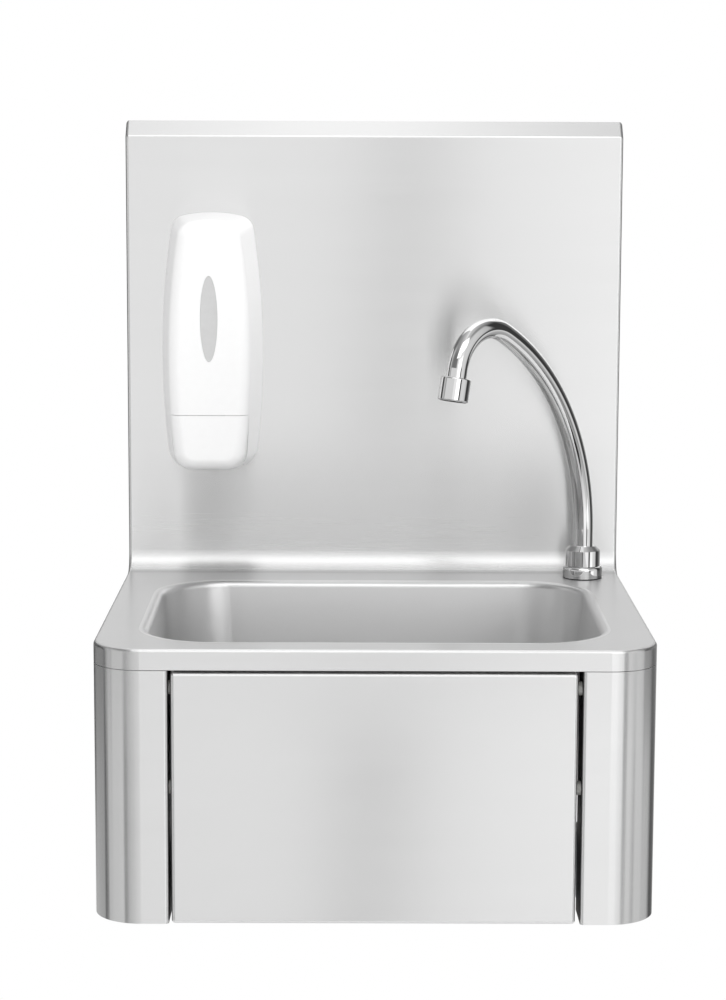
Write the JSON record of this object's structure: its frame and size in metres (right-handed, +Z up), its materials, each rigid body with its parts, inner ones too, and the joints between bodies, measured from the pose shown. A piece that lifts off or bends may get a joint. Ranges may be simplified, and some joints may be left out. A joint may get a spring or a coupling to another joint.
{
  "type": "knee-operated hand wash sink",
  "caption": "Wall-hung stainless hand-wash sink with tall splash, drawn bowl, pivoting knee panel that works a water valve, swivelling swan-neck spout and push-lever soap dispenser.",
  "frame": {"origin": "centre of the four wall fixings, on the wall plane", "axes": "+X to the user's right, +Y into the wall, +Z up; the user stands on the -Y side"},
  "size_m": [0.4, 0.34, 0.563],
  "materials": {
    "stainless": "satin, brushed across",
    "zinc_steel": "zinc plated",
    "nylon": "moulded nylon",
    "black_rubber": "matt",
    "brass": "turned",
    "pipe_steel": "drawn tube",
    "chrome": "mirror plated",
    "grey_plastic": "moulded",
    "white_plastic": "gloss moulded",
    "tank_plastic": "frosted moulded",
    "window": "smoked clear"
  },
  "bodies": {
    "sink": {"top_and_backsplash": "stainless", "bowl": "stainless", "left_side_panel": "stainless", "right_side_panel": "stainless", "rear_rail": "zinc_steel", "valve_crossbar": "zinc_steel", "pivot_pins": "zinc_steel", "stop_pins": "zinc_steel", "soap_screws": "zinc_steel", "waste_screw": "zinc_steel", "cover_hinge_pins": "zinc_steel", "tap_washer": "zinc_steel", "pivot_bushes": "nylon", "stop_bushes": "nylon", "waste_gasket": "black_rubber", "tap_base_seal": "black_rubber", "valve_body": "brass", "valve_locknut": "brass", "coupling_nut": "brass", "mixer_body": "brass", "cold_inlet": "brass", "hot_inlet": "brass", "valve_pipe_nut": "brass", "tap_pipe_nut": "brass", "tap_locknut": "brass", "supply_pipe": "pipe_steel", "tap_base": "chrome", "tap_union_nut": "chrome", "waste_strainer": "chrome", "waste_body": "chrome", "soap_pump": "grey_plastic", "soap_backplate": "white_plastic", "soap_tank": "tank_plastic", "tank_lid": "tank_plastic"},
    "knee_panel": {"knee_panel": "stainless", "knee_buffer": "black_rubber"},
    "valve_button": {"valve_button": "grey_plastic"},
    "spout": {"spout_tube": "chrome", "aerator_housing": "chrome", "aerator_insert": "grey_plastic"},
    "soap_cover": {"soap_cover": "white_plastic", "soap_window": "window", "lever_pin": "zinc_steel"},
    "soap_lever": {"soap_lever": "white_plastic"},
    "pump_plunger": {"pump_plunger": "grey_plastic"},
    "mixer_knob": {"temperature_knob": "grey_plastic"}
  },
  "joints": [
    {"name": "knee_swing", "type": "hinge", "parent": "sink", "child": "knee_panel", "pos_m": [0, -0.3255, 0.03], "axis": [1, 0, 0], "range_deg": [0, 5], "stiffness_Nm_per_rad": 20, "springref_deg": -4.58},
    {"name": "button_push", "type": "slide", "parent": "sink", "child": "valve_button", "axis": [0, 1, 0], "range_m": [0, 0.01183]},
    {"name": "spout_swivel", "type": "hinge", "parent": "sink", "child": "spout", "pos_m": [0.1695, -0.0445, 0.06], "axis": [0, 0, 1], "range_deg": [-45, 45]},
    {"name": "cover_hinge", "type": "hinge", "parent": "sink", "child": "soap_cover", "pos_m": [-0.1305, -0.022, 0.157], "axis": [1, 0, 0], "range_deg": [0, 80]},
    {"name": "lever_push", "type": "hinge", "parent": "soap_cover", "child": "soap_lever", "pos_m": [-0.1305, -0.062, 0.1884], "axis": [1, 0, 0], "range_deg": [0, 10], "stiffness_Nm_per_rad": 1.5, "springref_deg": -5.73},
    {"name": "plunger_push", "type": "slide", "parent": "sink", "child": "pump_plunger", "axis": [0, 1, 0], "range_m": [0, 0.00437]},
    {"name": "temperature_turn", "type": "hinge", "parent": "sink", "child": "mixer_knob", "pos_m": [0.1478, -0.2595, -0.1055], "axis": [1, 0, 0], "range_deg": [-90, 90]}
  ],
  "couplings": [
    {"joint": "button_push", "follows": "knee_swing", "m_per_rad": 0.1355},
    {"joint": "plunger_push", "follows": "lever_push", "m_per_rad": 0.025}
  ]
}
